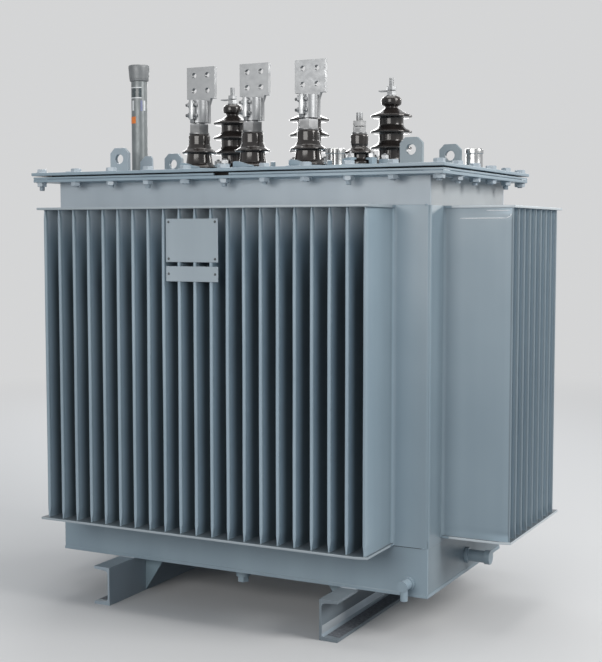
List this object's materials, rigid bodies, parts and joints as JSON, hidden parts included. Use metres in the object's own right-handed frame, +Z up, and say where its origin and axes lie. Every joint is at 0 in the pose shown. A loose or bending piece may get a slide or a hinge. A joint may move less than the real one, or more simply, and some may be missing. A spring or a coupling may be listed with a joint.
{
  "type": "power transformer",
  "caption": "Oil-filled distribution transformer: corrugated fin tank on channel skids, bolted cover with porcelain bushings, terminals, oil gauge and lifting lugs.",
  "frame": {"origin": "on the ground, under the middle of the tank", "axes": "+Z up, +X along the long side to the right, -Y towards the low-voltage side"},
  "size_m": [1.336, 0.868, 1.438],
  "materials": {
    "tank_paint": "satin",
    "skid_paint": "satin",
    "gasket_rubber": "matte",
    "porcelain": "gloss",
    "tinned_metal": "satin",
    "bright_metal": "polished",
    "gauge_plastic": "satin"
  },
  "bodies": {
    "root": {"base_plate": "tank_paint", "lower_long_bands": "tank_paint", "lower_end_bands": "tank_paint", "upper_long_bands": "tank_paint", "upper_end_bands": "tank_paint", "front_fin_panel": "tank_paint", "back_fin_panel": "tank_paint", "left_fin_panel": "tank_paint", "right_fin_panel": "tank_paint", "tank_flange": "tank_paint", "cover_plate": "tank_paint", "front_left_lug": "tank_paint", "front_right_lug": "tank_paint", "back_left_lug": "tank_paint", "back_right_lug": "tank_paint", "gauge_bracket": "tank_paint", "drain_valve": "tank_paint", "sampling_valve": "tank_paint", "base_drain_plug": "tank_paint", "rating_plate": "tank_paint", "lower_plate": "tank_paint", "left_skid": "skid_paint", "right_skid": "skid_paint", "left_skid_gussets": "skid_paint", "right_skid_gussets": "skid_paint", "cover_gasket": "gasket_rubber", "lv_bushing_a": "porcelain", "lv_bushing_b": "porcelain", "lv_bushing_c": "porcelain", "neutral_bushing": "porcelain", "hv_bushing_a": "porcelain", "hv_bushing_b": "porcelain", "hv_bushing_c": "porcelain", "lv_terminal_a": "tinned_metal", "lv_terminal_b": "tinned_metal", "lv_terminal_c": "tinned_metal", "neutral_stud": "tinned_metal", "hv_stud_a": "tinned_metal", "hv_stud_b": "tinned_metal", "hv_stud_c": "tinned_metal", "gauge_cap": "bright_metal", "gauge_base": "bright_metal", "tap_changer_cap": "bright_metal", "relief_valve": "bright_metal", "gauge_tube": "gauge_plastic"}
  },
  "joints": []
}
